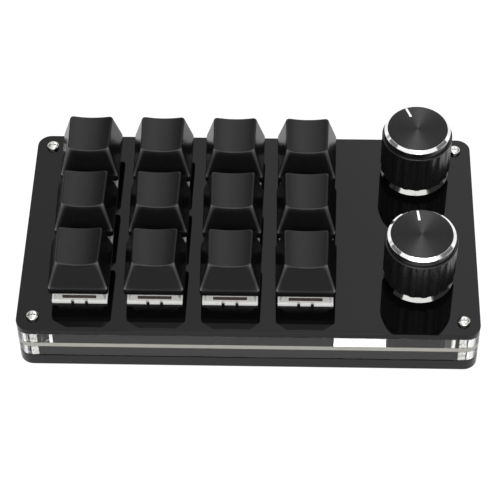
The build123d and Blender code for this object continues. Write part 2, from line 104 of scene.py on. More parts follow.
class Net:
    """The shader nodes of a material or of the surround, with short ways to add to them."""

    def __init__(self, tree):
        self.nodes = tree.nodes
        self.links = tree.links

    def add(self, kind):
        """A new shader node of some kind."""
        return self.nodes.new("ShaderNode" + kind)

    def put(self, socket, value):
        """Feeds a socket from another node, or sets it to a constant."""
        if isinstance(value, bpy.types.NodeSocket):
            self.links.new(value, socket)
        else:
            socket.default_value = value

    def split(self, vector):
        """The three components of a vector."""
        node = self.add("SeparateXYZ")
        self.put(node.inputs["Vector"], vector)
        return node.outputs["X"], node.outputs["Y"], node.outputs["Z"]

    def calculate(self, kind, a, b=0.0):
        """One step of arithmetic."""
        node = self.add("Math")
        node.operation = kind
        self.put(node.inputs[0], a)
        self.put(node.inputs[1], b)
        return node.outputs["Value"]

    def combine(self, kind, first, *others):
        """The same step of arithmetic over all the values in turn."""
        result = first
        for value in others:
            result = self.calculate(kind, result, value)
        return result

    def product(self, *values):
        """All the values multiplied."""
        return self.combine("MULTIPLY", *values)

    def largest(self, *values):
        """The largest of the values."""
        return self.combine("MAXIMUM", *values)

    def span(self, value, low, high, start=NOISE_LOW, stop=NOISE_HIGH, kind="LINEAR"):
        """A change from low to high while a value goes from start to stop."""
        node = self.add("MapRange")
        node.interpolation_type = kind
        limits = {"From Min": start, "From Max": stop, "To Min": low, "To Max": high}
        for name, limit in limits.items():
            self.put(node.inputs[name], limit)
        self.put(node.inputs["Value"], value)
        return node.outputs["Result"]

    def mixed(self, share, a, b):
        """The first colour where the share is 0, and the second where it is 1."""
        node = self.add("Mix")
        node.data_type = "RGBA"
        self.put(node.inputs["Factor"], share)
        self.put(node.inputs["A"], a)
        self.put(node.inputs["B"], b)
        return node.outputs["Result"]


class Paint(Net):
    """A material with one Principled shader, and the textures that feed it."""

    def __init__(self, name, base, roughness, **constants):
        self.material = bpy.data.materials.new(name)
        self.material.use_nodes = True
        super().__init__(self.material.node_tree)
        self.shader = self.nodes["Principled BSDF"]
        self.feed("Base Color", (*base, 1))
        self.feed("Roughness", roughness)
        for socket, value in constants.items():
            self.feed(socket.replace("_", " "), value)
        self.place = self.add("TexCoord").outputs["Object"]

    def feed(self, socket, value):
        """Feeds or sets one socket of the shader."""
        self.put(self.shader.inputs[socket], value)

    def noise(self, scale, detail=3.0, stretch=(1, 1, 1), seed=0.0):
        """A cloudy texture over the piece's own place."""
        mapping = self.add("Mapping")
        self.put(mapping.inputs["Scale"], stretch)
        self.put(mapping.inputs["Location"], (seed, seed, seed))
        self.put(mapping.inputs["Vector"], self.place)
        texture = self.add("TexNoise")
        self.put(texture.inputs["Scale"], scale)
        self.put(texture.inputs["Detail"], detail)
        self.put(texture.inputs["Vector"], mapping.outputs["Vector"])
        return texture.outputs["Fac"]

    def ramp(self, value, low, high, start=NOISE_LOW, stop=NOISE_HIGH):
        """A change between two colours while a value goes from start to stop."""
        node = self.add("ValToRGB")
        for element, position, colour in zip(node.color_ramp.elements, (start, stop), (low, high)):
            element.position = position
            element.color = (*colour, 1)
        self.put(node.inputs["Fac"], value)
        return node.outputs["Color"]

    def bump(self, height, strength, distance=BUMP_DEPTH):
        """A fine relief on the surface."""
        node = self.add("Bump")
        self.put(node.inputs["Strength"], strength)
        self.put(node.inputs["Distance"], distance)
        self.put(node.inputs["Height"], height)
        self.feed("Normal", node.outputs["Normal"])

    def upright(self):
        """1 on vertical faces and 0 on level ones."""
        _, _, up = self.split(self.add("NewGeometry").outputs["True Normal"])
        return self.calculate("SUBTRACT", 1.0, self.calculate("ABSOLUTE", up))


def grey(value):
    """A colour with three equal parts."""
    return value, value, value


def grained(name, base, spread, roughness, bump, scale=900.0, **constants):
    """A paint with a mottled colour, an uneven finish and a fine surface grain."""
    patch_scale, finish_scale, finish_spread = 0.12 * scale, 0.4 * scale, 0.15
    paint = Paint(name, base, roughness, **constants)
    low = tuple(c * (1 - spread) for c in base)
    high = tuple(min(1, c * (1 + spread)) for c in base)
    paint.mottle = paint.ramp(paint.noise(patch_scale, detail=4.0), low, high)
    paint.feed("Base Color", paint.mottle)
    finish = paint.noise(finish_scale, seed=3.0)
    smoothest, roughest = roughness * (1 - finish_spread), roughness * (1 + finish_spread)
    paint.feed("Roughness", paint.span(finish, low=smoothest, high=roughest))
    paint.bump(paint.noise(scale, detail=2.0, seed=7.0), strength=bump)
    return paint


def metal(name, base, roughness, scale=900.0, stretch=(1, 1, 1)):
    """Bare metal with fine tool marks."""
    dull_share, tint_scale = 0.92, 0.05 * scale
    paint = Paint(name, base, roughness, Metallic=1.0)
    marks = paint.noise(scale, detail=4.0, stretch=stretch)
    paint.feed("Roughness", paint.span(marks, low=roughness * 0.7, high=roughness * 1.4))
    dull = tuple(c * dull_share for c in base)
    tint = paint.noise(tint_scale, seed=2.0)
    paint.feed("Base Color", paint.ramp(tint, dull, base, start=0.35, stop=0.65))
    paint.bump(marks, strength=0.05)
    return paint


def acrylic(name, base, roughness, **constants):
    """Cast sheet: level faces are polished, and sawn edges keep faint upright lines."""
    paint = Paint(name, base, roughness, **constants)
    haze = paint.noise(scale=60.0, detail=5.0)
    paint.feed("Roughness", paint.span(haze, low=roughness * 0.6, high=roughness * 1.6))
    lines = paint.noise(scale=1500.0, detail=2.0, stretch=(1, 1, 0.02), seed=5.0)
    paint.bump(paint.product(lines, paint.upright()), strength=0.04)
    return paint


black_acrylic = acrylic("black_acrylic", grey(0.002), roughness=0.02, IOR=1.27)
smoked_acrylic = acrylic("smoked_acrylic", grey(0.007), roughness=0.05, IOR=1.28)
clear_acrylic = acrylic(
    "clear_acrylic", (0.965, 0.98, 0.975), roughness=0.012, IOR=1.45, Transmission_Weight=1.0
)
# A dark paint: painted shade on the clear sheets' inner cut walls, and a dark seam line on the bottom
# plate's upper rim
shaded_wall = acrylic("shaded_wall", grey(0.004), roughness=0.6, IOR=1.08)


def keycap_paint(name, gloss):
    """Black keycap plastic, with a painted highlight on the edges round the front, where they face
    forward and up.
    """
    # The paler colour of the painted highlight on the front edges
    highlight_colour = (*grey(0.17), 1)
    paint = grained(
        name, (0.0045, 0.0045, 0.0047), spread=0.12, roughness=0.24, bump=0.06, scale=5200.0, IOR=gloss
    )
    geometry = paint.add("NewGeometry")
    sideways, rearward, upward = paint.split(geometry.outputs["Normal"])
    aside = paint.calculate("ABSOLUTE", sideways)
    facing = paint.span(rearward, low=1.0, high=0.0, start=-0.5, stop=-0.2)
    rising = paint.span(upward, low=0.0, high=1.0, start=0.15, stop=0.3)
    edge = paint.span(geometry.outputs["Pointiness"], low=0.0, high=1.0, start=0.508, stop=0.535)
    ridge = paint.span(aside, low=0.28, high=1.0, start=0.25, stop=0.5)
    # Painted highlight: pointed edges that face forward and up, most on the side ridges
    painted_highlight = paint.product(edge, rising, ridge, facing)
    paint.feed("Base Color", paint.mixed(painted_highlight, paint.mottle, highlight_colour))
    return paint


# The photograph shows darker flanks than tops, and paler ones on the rear row
# Painted shade: copies of the keycap plastic with less gloss for the flanks, so they look darker than the
# tops, and a little more gloss for the rear row's flanks
cap_paint = keycap_paint("keycap_plastic", gloss=1.28)
shaded_flank_paint = keycap_paint("keycap_shaded_flank", gloss=1.1)
rear_flank_paint = keycap_paint("keycap_rear_shaded_flank", gloss=1.22)


def milky(name, base):
    """Translucent housing plastic, in which light spreads a little."""
    return grained(
        name, base, spread=0.02, roughness=0.32, bump=0.04,
        Subsurface_Weight=0.3, Subsurface_Scale=1.5 * MM, Subsurface_Radius=grey(1.0),
    )


milky_lower = milky("milky_lower_housing", (0.84, 0.835, 0.82))
# Painted shade: the upper housings take a darker copy of the same milky plastic, for the shadow of the
# caps above them
shaded_milky_upper = milky("milky_upper_housing", (0.48, 0.475, 0.46))
# Painted shade: a dark brown on the housings' inward faces and the floors of their front slots, where
# little light gets in
housing_painted_shade = grained("housing_painted_shade", (0.075, 0.055, 0.050), spread=0.1, roughness=0.5, bump=0.04)
stem_paint = grained("stem_plastic", (0.62, 0.10, 0.11), spread=0.05, roughness=0.36, bump=0.05)
socket_paint = grained(
    "socket_plastic", (0.018, 0.018, 0.019), spread=0.15, roughness=0.5, bump=0.12, scale=1500.0
)
encoder_paint = grained(
    "encoder_plastic", (0.02, 0.022, 0.024), spread=0.12, roughness=0.45, bump=0.1, scale=1200.0
)
rubber = grained("foot_rubber", grey(0.014), spread=0.2, roughness=0.75, bump=0.25, scale=2600.0)
pointer_paint = grained(
    "pointer_paint", (0.93, 0.93, 0.92), spread=0.02, roughness=0.45, bump=0.05, scale=1500.0
)
knob_black = grained(
    "knob_black", grey(0.006), spread=0.1, roughness=0.25, bump=0.04, scale=2200.0, IOR=1.4
)

brass = metal("brass", (0.75, 0.55, 0.24), roughness=0.25)
standoff_metal = metal("standoff_metal", (0.13, 0.125, 0.11), roughness=0.3)
nickel = metal("nickel", (0.62, 0.61, 0.585), roughness=0.1)
steel = metal("encoder_steel", (0.60, 0.60, 0.61), roughness=0.28)
spring_steel = metal("spring_steel", (0.62, 0.62, 0.64), roughness=0.22)
bare_edge = metal("bare_aluminium", (0.93, 0.93, 0.92), roughness=0.06)
turned_foot = metal("turned_foot", (0.13, 0.13, 0.125), roughness=0.07, scale=1500.0, stretch=(1, 1, 8))


def spun_disc():
    """Dark anodised disc with fine turned rings about its own axis."""
    paint = Paint(
        "spun_disc", grey(0.043), roughness=0.5, Metallic=1.0, Anisotropic=0.95, Anisotropic_Rotation=0.25
    )
    x, y, _ = paint.split(paint.place)
    radius = paint.calculate("SQRT", paint.calculate("ADD", paint.product(x, x), paint.product(y, y)))
    rings = paint.add("TexNoise")
    rings.noise_dimensions = "1D"
    paint.put(rings.inputs["Scale"], 6000.0)
    paint.put(rings.inputs["Detail"], 4.0)
    paint.put(rings.inputs["W"], radius)
    paint.feed("Base Color", paint.ramp(rings.outputs["Fac"], grey(0.036), grey(0.05)))
    paint.bump(rings.outputs["Fac"], strength=0.06, distance=BUMP_DEPTH / 2)
    tangent = paint.add("Tangent")
    tangent.direction_type = "RADIAL"
    tangent.axis = "Z"
    paint.feed("Tangent", tangent.outputs["Tangent"])
    return paint


def board_paint():
    """Dark solder mask on the faces, bare glass laminate on the cut edge."""
    paint = Paint("circuit_board", (0.01, 0.014, 0.012), roughness=0.35)
    weave = paint.noise(scale=1800.0, stretch=(1, 1, 5))
    edge = paint.ramp(weave, (0.24, 0.235, 0.205), (0.335, 0.33, 0.295))
    mask = paint.ramp(paint.noise(scale=250.0), (0.008, 0.010, 0.009), (0.013, 0.018, 0.015))
    paint.feed("Base Color", paint.mixed(paint.upright(), mask, edge))
    paint.bump(weave, strength=0.1)
    return paint


disc_paint = spun_disc()
board = board_paint()


# Mesh building
def add_object(name, mesh, paint, body, place=Matrix()):
    """A finished piece of the object that rides on one body."""
    piece = bpy.data.objects.new(name, mesh)
    scene.collection.objects.link(piece)
    mesh.materials.append(paint.material)
    piece.matrix_world = place
    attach(piece, body)
    return piece


def lofted(rings, foot=None, top=None):
    """Points and faces of a skin through rings of equal count, closed by a point at either end."""
    count = len(rings[0])
    points = [point for ring in rings for point in ring]
    faces = []
    for k in range(len(rings) - 1):
        for i in range(count):
            j = (i + 1) % count
            faces.append((k * count + i, k * count + j, (k + 1) * count + j, (k + 1) * count + i))
    if foot is not None:
        points.append(foot)
        faces += [((i + 1) % count, i, len(points) - 1) for i in range(count)]
    if top is not None:
        last = (len(rings) - 1) * count
        points.append(top)
        faces += [(last + i, last + (i + 1) % count, len(points) - 1) for i in range(count)]
    return points, faces


def merged(parts):
    """One list of points and faces out of several, each moved to its place."""
    points, faces = [], []
    for (x, y, z), (some_points, some_faces) in parts:
        start = len(points)
        points += [(px + x, py + y, pz + z) for px, py, pz in some_points]
        faces += [tuple(start + i for i in face) for face in some_faces]
    return points, faces


def to_mesh(name, points, faces, smooth_angle=None):
    """A mesh in metres from points in millimetres."""
    mesh = bpy.data.meshes.new(name)
    mesh.from_pydata([(x * MM, y * MM, z * MM) for x, y, z in points], [], faces)
    mesh.update()
    mesh.shade_smooth()
    if smooth_angle:
        mesh.set_sharp_from_angle(angle=math.radians(smooth_angle))
    return mesh


def polar(radius, angle):
    """A point on the plan at some radius and angle."""
    return radius * math.cos(angle), radius * math.sin(angle)


def circle(radius, z, count):
    """One ring about the Z axis."""
    return [(*polar(radius, 2 * math.pi * i / count), z) for i in range(count)]


def turned(profile, count):
    """Rings about the Z axis through the points of a profile, each a radius and a height."""
    return [circle(radius, z, count) for radius, z in profile]


def cross_radius(angle, reach, half_x_arm, half_y_arm):
    """How far a cross reaches in one direction, out of its reach and its arms' half widths."""
    tiny = 1e-9
    c, s = abs(math.cos(angle)) + tiny, abs(math.sin(angle)) + tiny
    return max(min(reach / c, half_x_arm / s), min(half_y_arm / c, reach / s))


# Copies of CAD meshes with softened edges, in which points closer than this, in metres, are one
SAME_PLACE = 1e-6
# Angles between faces, in radians: below the first they are flat, and above the second they are softened
FLAT_TURN = 0.02
SHARP_TURN = 0.6
BEVEL_STEPS = 3
# The upward share of a face's normal, which is less on walls and more on level faces
WALL_RISE = 0.5
LEVEL_RISE = 0.8
SEAM_RISE_LOW, SEAM_RISE_HIGH = 0.2, 0.95
# Distances inside the case's outline, and round a screw
RIM_DEPTH = 0.02
SEAM_DEPTH = 1.0
WALL_DEPTH = 0.3
CLEAR_CORNER = 5.0
# The floor of a housing's front slot, and how far a face may lie from it and still count
SLOT_FLOOR = 1.5
SLOT_FLOOR_MARGIN = 0.05


def outline_depth(point):
    """How far a point lies inside the case's outline on the plan."""
    dx = abs(point.x) / MM - (CASE_HALF_WIDTH - CASE_CORNER)
    dy = abs(point.y) / MM - (CASE_HALF_DEPTH - CASE_CORNER)
    return CASE_CORNER - math.hypot(max(dx, 0), max(dy, 0)) - min(max(dx, dy), 0)


def from_nearest(spots, point):
    """The way on the plan from the nearest of some spots to a point."""
    ways = [(point.x / MM - x, point.y / MM - y) for x, y in spots]
    return min(ways, key=lambda way: math.hypot(*way))


def at_rim(edge):
    """Whether an edge runs level along the case's outline."""
    level = abs(edge.verts[0].co.z - edge.verts[1].co.z) < SAME_PLACE
    return level and all(outline_depth(vertex.co) < RIM_DEPTH for vertex in edge.verts)


def at_cut_wall(face):
    """Whether a face is a cut wall inside a sheet, away from the clear corners, where the sheet takes
    painted shade.
    """
    point = face.calc_center_median()
    at_corner = math.hypot(*from_nearest(SCREW_SPOTS, point)) < CLEAR_CORNER
    return outline_depth(point) > WALL_DEPTH and abs(face.normal.z) < WALL_RISE and not at_corner


def at_seam(face):
    """Whether a face is the softened upper rim of a sheet, where the next sheet lies on it."""
    leaning = SEAM_RISE_LOW < face.normal.z < SEAM_RISE_HIGH
    return leaning and outline_depth(face.calc_center_median()) < SEAM_DEPTH


def in_housing(face):
    """Whether a face of a switch's housing looks inward, or is the floor of its front slot, where the
    housing takes painted shade.
    """
    point = face.calc_center_median()
    x, y = from_nearest(KEY_SPOTS, point)
    inward = x * face.normal.x + y * face.normal.y < 0
    at_slot_floor = abs(point.z / MM - PLATE - SLOT_FLOOR) < SLOT_FLOOR_MARGIN
    if face.normal.z > LEVEL_RISE:
        return at_slot_floor
    return inward and face.normal.z > -LEVEL_RISE


def bevelled(node, width, paint, inner_paint=None, is_inner=None, rim_only=True):
    """A copy of a node's mesh with softened edges, which stands for the node."""
    mesh = bpy.data.meshes.new(node + "_soft")
    shape = bmesh.new()
    shape.from_mesh(nodes[node].data)
    bmesh.ops.remove_doubles(shape, verts=shape.verts, dist=SAME_PLACE)
    bmesh.ops.dissolve_limit(shape, angle_limit=FLAT_TURN, verts=shape.verts, edges=shape.edges)
    for face in shape.faces:
        face.smooth = False
    edges = [e for e in shape.edges if len(e.link_faces) == 2 and e.calc_face_angle(0.0) > SHARP_TURN]
    if rim_only:
        edges = [e for e in edges if at_rim(e)]
    made = bmesh.ops.bevel(
        shape, geom=edges, offset=width * MM, offset_type="OFFSET", segments=BEVEL_STEPS, profile=0.5,
        affect="EDGES", clamp_overlap=True,
    )
    for face in made["faces"]:
        face.smooth = True
    low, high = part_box(node)
    for vertex in shape.verts:
        vertex.co = [min(max(c, a), b) for c, a, b in zip(vertex.co, low, high)]
    if is_inner:
        shape.normal_update()
        for face in shape.faces:
            face.material_index = int(is_inner(face))
    shape.to_mesh(mesh)
    shape.free()
    piece = add_object(node + "_soft", mesh, paint, nodes[node]["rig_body"])
    if is_inner:
        mesh.materials.append(inner_paint.material)
    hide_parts(node)


# Keycaps
CORNER_STEPS = 8
SIDE_STEPS = 12
CAP_HALF = 8.55
CAP_CORNER = 0.75
# Growth of the half width towards the rear, for each millimetre
CAP_GROWTH = 0.02
CAP_FOOT = 5.1
CAP_SKIRT = 7.25
CAP_INNER_HALF = 7.38
# The front and rear ends of the top, each a place and a height
TOP_FRONT = (-5.05, 15.0)
TOP_REAR = (8.2, 14.7)
TOP_MIDDLE = (TOP_FRONT[0] + TOP_REAR[0]) / 2
TOP_HALF = 6.05
TOP_CORNER = 1.2
TOP_CORNER_LEAST = 0.4
# Loss of the corner's radius for each millimetre of inset
TOP_CORNER_LOSS = 0.6
# The rise over which the cap narrows to its top, and its loss of half width for each millimetre
LEAN_RISE = 7.5
CAP_LEAN = (CAP_HALF - TOP_HALF) / LEAN_RISE
DISH_DEPTH = 0.75
DISH_CHORD = 6.35
DISH_RADIUS = (DISH_CHORD**2 + DISH_DEPTH**2) / (2 * DISH_DEPTH)
RIM_ROUND = 0.35
RIM_STEPS = 6
SLIDE_STEPS = 6
# Where the rings of the leaning sides and of the dished top lie
SIDE_SHARES = (0.03, 0.1, 0.3, 0.6, 0.85)
TOP_SHARES = (0.94, 0.8, 0.6, 0.4, 0.2)
CEILING = 12.55
CEILING_HALF, CEILING_FRONT, CEILING_REAR = 5.35, -4.98, 7.12
HOLLOW_CORNER = 0.5
BOSS_RADIUS = 2.75
BOSS_FOOT = 6.6
SOCKET_TOP = 10.2
SOCKET_REACH, SOCKET_HALF_X_ARM, SOCKET_HALF_Y_ARM = 2.03, 0.68, 0.58
# Cap faces turned further to the side than this are flanks
FLANK_TURN = 0.72
# The photograph shows the rear rows a little taller than the front one
ROW_LIFT = {"r1": 0.7, "r2": 0.35, "r3": 0.0}


def rounded_outline(half, front, rear, radius):
    """Points round a rounded rectangle, always the same number, anticlockwise from above."""
    corners = [
        (half - radius, front + radius, -90),
        (half - radius, rear - radius, 0),
        (radius - half, rear - radius, 90),
        (radius - half, front + radius, 180),
    ]

    def on_corner(corner, share):
        x, y, start = corner
        dx, dy = polar(radius, math.radians(start + 90 * share))
        return Vector((x + dx, y + dy))

    points = []
    for corner, following in zip(corners, corners[1:] + corners[:1]):
        points += [on_corner(corner, i / CORNER_STEPS) for i in range(CORNER_STEPS + 1)]
        here, there = points[-1], on_corner(following, 0)
        points += [here.lerp(there, i / SIDE_STEPS) for i in range(1, SIDE_STEPS)]
    return [tuple(point) for point in points]


def flat_top(y):
    """The height of the keycap's top before it is dished."""
    share = (y - TOP_FRONT[0]) / (TOP_REAR[0] - TOP_FRONT[0])
    return TOP_FRONT[1] + (TOP_REAR[1] - TOP_FRONT[1]) * share


def on_top(x, y):
    """A point of the keycap's dished top."""
    z = flat_top(y)
    if abs(x) < DISH_CHORD:
        z -= DISH_DEPTH - DISH_RADIUS + math.sqrt(DISH_RADIUS**2 - x * x)
    return Vector((x, y, z))


def top_outline(inset):
    """The outline of the flat top, or one at some distance inside it."""
    radius = max(TOP_CORNER_LEAST, TOP_CORNER - inset * TOP_CORNER_LOSS)
    ring = []
    outline = rounded_outline(TOP_HALF - inset, TOP_FRONT[0] + inset, TOP_REAR[0] - inset, radius)
    for x, y in outline:
        half = CAP_HALF + CAP_GROWTH * y - CAP_LEAN * (flat_top(y) - CAP_SKIRT)
        ring.append(Vector((x * half / TOP_HALF, y, flat_top(y))))
    return ring


def slid(base, high):
    """The point of a side line at which it meets the dished top, found in a few steps."""
    point = high
    for _ in range(SLIDE_STEPS):
        drop = (point.z - on_top(point.x, point.y).z) / (high.z - base.z)
        point = point + (base - high) * drop
    return point


def level(outline, z):
    """An outline on the plan as a ring at one height."""
    return [Vector((x, y, z)) for x, y in outline]


def skirt_ring(z, inset=0.0, radius=CAP_CORNER):
    """A ring of the cap's skirt, which grows wider towards the rear."""
    outline = rounded_outline(CAP_HALF - inset, inset - CAP_HALF, CAP_HALF - inset, radius)
    return [Vector((x * (1 + CAP_GROWTH * y / CAP_HALF), y, z)) for x, y in outline]


def hollow_rings():
    """The cap's inside: the socket for the stem's cross, its boss, the ceiling and the inner walls."""
    ceiling = rounded_outline(CEILING_HALF, CEILING_FRONT, CEILING_REAR, HOLLOW_CORNER)
    inner = rounded_outline(CAP_INNER_HALF, -CAP_INNER_HALF, CAP_INNER_HALF, HOLLOW_CORNER)
    angles = [math.atan2(y, x) for x, y in ceiling]
    cross = [cross_radius(a, SOCKET_REACH, SOCKET_HALF_X_ARM, SOCKET_HALF_Y_ARM) for a in angles]
    socket = [polar(radius, a) for radius, a in zip(cross, angles)]
    boss = [polar(BOSS_RADIUS, a) for a in angles]
    return [
        level(socket, SOCKET_TOP), level(socket, BOSS_FOOT), level(boss, BOSS_FOOT), level(boss, CEILING),
        level(ceiling, CEILING), level(inner, CAP_SKIRT), level(inner, CAP_FOOT),
    ]


def skirt_rings():
    """The cap's rounded foot and its upright skirt."""
    return [
        skirt_ring(CAP_FOOT, inset=0.15, radius=0.6),
        skirt_ring(CAP_FOOT + 0.05, inset=0.04, radius=0.7),
        skirt_ring(CAP_FOOT + 0.15),
        skirt_ring(CAP_SKIRT - 0.6),
        skirt_ring(CAP_SKIRT - 0.2, inset=0.02),
    ]


def upper_rings():
    """The cap's leaning sides, its rounded rim and its dished top."""
    base = skirt_ring(CAP_SKIRT)
    flat = top_outline(0)
    rim = [slid(b, f) for b, f in zip(base, flat)]
    down = [(b - r).normalized() for b, r in zip(base, rim)]

    def dished(inset):
        moved = [p + r - f for p, r, f in zip(top_outline(inset), rim, flat)]
        return [on_top(p.x, p.y) for p in moved]

    rings = [[b.lerp(r, share) for b, r in zip(base, rim)] for share in SIDE_SHARES]
    for step in range(RIM_STEPS + 1):
        a = math.radians(90 * step / RIM_STEPS)
        drop, inset = RIM_ROUND * (1 - math.sin(a)), RIM_ROUND * (1 - math.cos(a))
        rings.append([t + d * drop for t, d in zip(dished(inset), down)])
    inside = dished(RIM_ROUND)
    for share in TOP_SHARES:
        rings.append([on_top(p.x * share, TOP_MIDDLE + (p.y - TOP_MIDDLE) * share) for p in inside])
    return rings


def keycap_shape():
    """Points and faces of one hollow cap on its key's axis."""
    rings = hollow_rings() + skirt_rings() + upper_rings()
    ends = (0, 0, SOCKET_TOP), tuple(on_top(0, TOP_MIDDLE))
    return lofted([[tuple(point) for point in ring] for ring in rings], *ends)


cap_points, cap_faces = keycap_shape()
for key in KEYS:
    x, y = middle("keycap_" + key)
    stretch = ROW_LIFT[key[:2]] / (TOP_FRONT[1] - CAP_SKIRT)
    moved = [(px + x, py + y, pz + PLATE + max(0, pz - CAP_SKIRT) * stretch) for px, py, pz in cap_points]
    mesh = to_mesh("cap_" + key, moved, cap_faces, smooth_angle=50)
    for face in mesh.polygons:
        face.material_index = int(abs(face.normal.x) > FLANK_TURN)
    cap = add_object("cap_" + key, mesh, cap_paint, "key_" + key)
    # The flanks take a copy of the plastic with less gloss, as painted shade
    side_paint = rear_flank_paint if key.startswith("r1") else shaded_flank_paint
    mesh.materials.append(side_paint.material)
    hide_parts("keycap_" + key)


# Springs, as coils
SPRING_LOW, SPRING_HIGH = -4.0, 4.45
SPRING_RADIUS, SPRING_WIRE = 2.075, 0.12
SPRING_TURNS = 11
SPRING_STEPS = SPRING_TURNS * 18
WIRE_SIDES = 6
# The share of the wire in each closed end, and the share of the height climbed evenly by the whole wire
END_SHARE = 0.09
END_CLIMB = 0.1


def coil_shape():
    """Points and faces of one spring at rest on its key's axis."""
    low, high = SPRING_LOW + SPRING_WIRE, SPRING_HIGH - SPRING_WIRE
    rings = []
    for i in range(SPRING_STEPS + 1):
        share = i / SPRING_STEPS
        a = 2 * math.pi * SPRING_TURNS * share
        rise = min(1.0, max(0.0, (share - END_SHARE) / (1 - 2 * END_SHARE)))
        z = low + (high - low) * (rise * (1 - END_CLIMB) + share * END_CLIMB)
        ring = []
        for dr, dz, _ in circle(SPRING_WIRE, 0.0, WIRE_SIDES):
            ring.append((*polar(SPRING_RADIUS + dr, a), z + dz))
        rings.append(ring[::-1])
    ends = [tuple(sum(c) / WIRE_SIDES for c in zip(*ring)) for ring in (rings[0], rings[-1])]
    return lofted(rings, *ends)


coil_points, coil_faces = coil_shape()
for key in KEYS:
    x, y = middle("spring_" + key)
    moved = [(px + x, py + y, pz + PLATE) for px, py, pz in coil_points]
    mesh = to_mesh("coil_" + key, moved, coil_faces)
    coil = add_object("coil_" + key, mesh, spring_steel, "base")
    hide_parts("spring_" + key)
    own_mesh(coil)


# Knobs, with each profile as radii and heights
FLUTES = 18
KNOB_SIDES = FLUTES * 16
DISC_SIDES = 144
KNOB_FOOT_SIDES = 192
KNOB_RADIUS = 10.2
FLUTE_RADIUS = 2.6
FLUTE_DEPTH = 0.35
FLUTE_HEIGHTS = (3.05, 6.0, 10.0, 14.0, 15.6)
FLUTE_END, FLUTE_END_SHARE = 15.7, 0.02
CORE_RADIUS, CORE_TOP = 4.6, 16.05
RECESS_RADIUS = 7.4
NECK_RADIUS = 9.6
DISC_Z = 18.935
KNOB_INSIDE = [
    (CORE_RADIUS, CORE_TOP), (CORE_RADIUS, 7.0), (RECESS_RADIUS, 6.95), (RECESS_RADIUS, 2.86),
    (8.1, 2.86), (9.85, 2.9),
]
KNOB_SHOULDER = [
    (KNOB_RADIUS, 16.02), (10.16, 16.14), (10.08, 16.22), (9.96, 16.25), (9.62, 16.25),
    (NECK_RADIUS, 16.3), (NECK_RADIUS, 17.2), (NECK_RADIUS, 18.12),
]
KNOB_CHAMFER = [(NECK_RADIUS, 18.1), (NECK_RADIUS, 18.17), (9.56, 18.23), (8.76, 18.9), (8.7, 18.93)]
KNOB_DISC = [(8.71, 18.92), (8.67, DISC_Z), (7.0, DISC_Z), (4.0, DISC_Z)]
KNOB_FOOT = [
    (RECESS_RADIUS, 0.56), (9.85, 0.56), (9.89, 0.58), (9.9, 0.62), (8.2, 2.32), (8.2, 2.9),
    (RECESS_RADIUS, 2.9), (RECESS_RADIUS, 0.56),
]
POINTER_HALF, POINTER_INNER, POINTER_OUTER = 0.33, 5.0, 8.55
POINTER_Z, POINTER_CORNER = 18.93, 0.12
# The pointer's rings, each a growth of its outline and a height over POINTER_Z
POINTER_EDGE = ((0.0, -0.05), (0.0, 0.012), (-0.03, 0.019))
KNOB_ANGLES = {"rear": 21.5, "front": 6.7}


def fluted(z, share):
    """A ring of the knob's body, with its flutes cut to a share of their depth."""
    ring = []
    pitch = 2 * math.pi / FLUTES
    centre = KNOB_RADIUS + FLUTE_RADIUS - FLUTE_DEPTH * share
    for i in range(KNOB_SIDES):
        a = 2 * math.pi * i / KNOB_SIDES
        off = (a + pitch / 2) % pitch - pitch / 2
        inside = FLUTE_RADIUS**2 - (centre * math.sin(off)) ** 2
        radius = KNOB_RADIUS
        if inside > 0:
            radius = min(radius, centre * math.cos(off) - math.sqrt(inside))
        ring.append((*polar(radius, a), z))
    return ring


def knob_piece(side, name, shape, paint, smooth_angle=35):
    """A knob piece that has its own origin on the knob's axis."""
    mesh = to_mesh(f"{side}_{name}", *shape, smooth_angle)
    x, y = middle(side + "_encoder_rotor")
    turn = Matrix.Rotation(math.radians(KNOB_ANGLES[side]), 4, "Z")
    place = Matrix.Translation((x * MM, y * MM, PLATE * MM)) @ turn
    return add_object(f"{side}_{name}", mesh, paint, side + "_knob", place)


def knob_body_shape():
    """Points and faces of the black body, from its bore round the flutes to the neck."""
    rings = turned(KNOB_INSIDE, KNOB_SIDES)
    rings += [fluted(z, 1.0) for z in FLUTE_HEIGHTS]
    rings.append(fluted(FLUTE_END, FLUTE_END_SHARE))
    rings += turned(KNOB_SHOULDER, KNOB_SIDES)
    return lofted(rings, (0, 0, CORE_TOP))


def pointer_shape():
    """Points and faces of the white line on the disc."""
    rings = []
    for grow, lift in POINTER_EDGE:
        outline = rounded_outline(
            POINTER_HALF + grow, POINTER_INNER - grow, POINTER_OUTER + grow, POINTER_CORNER
        )
        rings.append([(x, y, POINTER_Z + lift) for x, y in outline])
    top_z = POINTER_Z + POINTER_EDGE[-1][1]
    return lofted(rings, None, (0, (POINTER_INNER + POINTER_OUTER) / 2, top_z))


knob_body = knob_body_shape()
knob_chamfer = lofted(turned(KNOB_CHAMFER, DISC_SIDES))
knob_disc = lofted(turned(KNOB_DISC, DISC_SIDES), None, (0, 0, DISC_Z))
knob_pointer = pointer_shape()
knob_foot = lofted(turned(KNOB_FOOT, KNOB_FOOT_SIDES))
for side in ("rear", "front"):
    body = knob_piece(side, "knob_body", knob_body, knob_black)
    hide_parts(side + "_knob_shell")
    knob_piece(side, "knob_chamfer", knob_chamfer, bare_edge, smooth_angle=8)
    knob_piece(side, "knob_disc", knob_disc, disc_paint)
    knob_piece(side, "knob_pointer", knob_pointer, pointer_paint)
    knob_piece(side, "knob_foot", knob_foot, turned_foot)


# Screws with a cross recess, in both outer faces, with heights over a head's seat
SCREW_SIDES = 40
SHANK_RADIUS = 1.0
UPPER_SHANK, LOWER_SHANK = 5.6, 6.72
